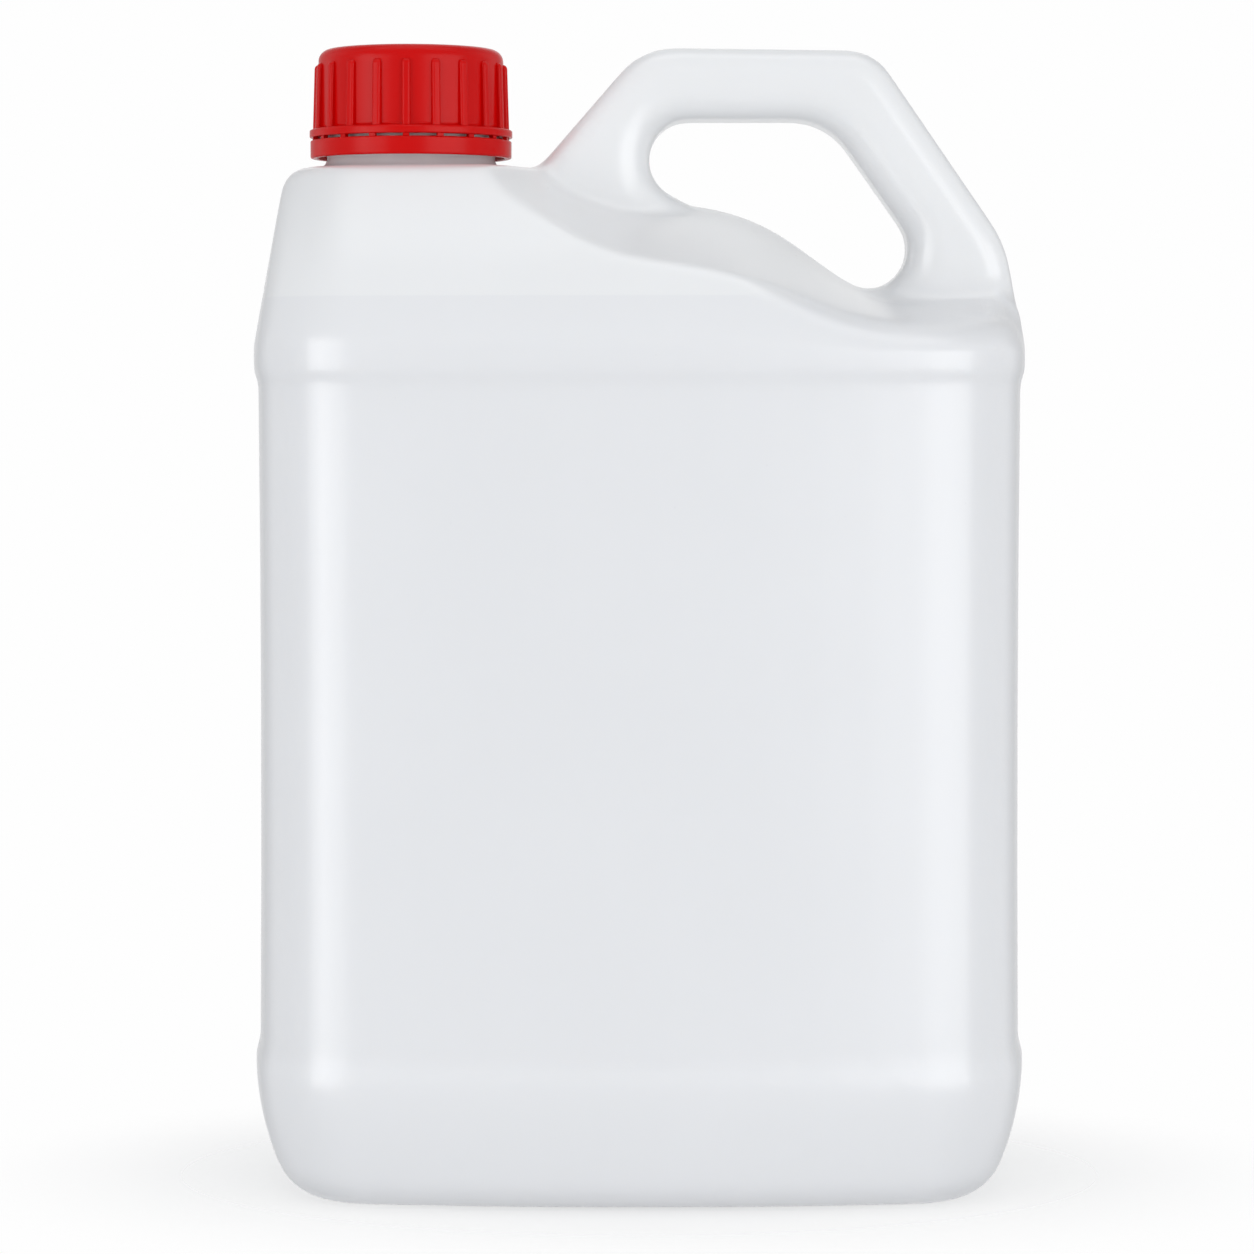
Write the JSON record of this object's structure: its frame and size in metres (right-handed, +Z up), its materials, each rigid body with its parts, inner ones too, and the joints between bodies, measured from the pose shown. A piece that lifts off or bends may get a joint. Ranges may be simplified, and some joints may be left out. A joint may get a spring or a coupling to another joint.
{
  "type": "square plastic bottle",
  "caption": "Large white plastic bottle of nearly square section with a handle moulded in one, a shouldered neck and a ribbed red screw cap with a tamper ring.",
  "frame": {"origin": "centre of the base, on the plane the bottle stands on", "axes": "+Z up, X along the wide side with the neck towards -X, +Y through the depth towards the back"},
  "size_m": [0.1946, 0.128, 0.2863],
  "materials": {
    "bottle_white": "blow moulded polyethylene, satin, slightly translucent",
    "cap_red": "injection moulded polyethylene, semi-gloss"
  },
  "bodies": {
    "root": {"bottle": "bottle_white", "cap": "cap_red"}
  },
  "joints": []
}
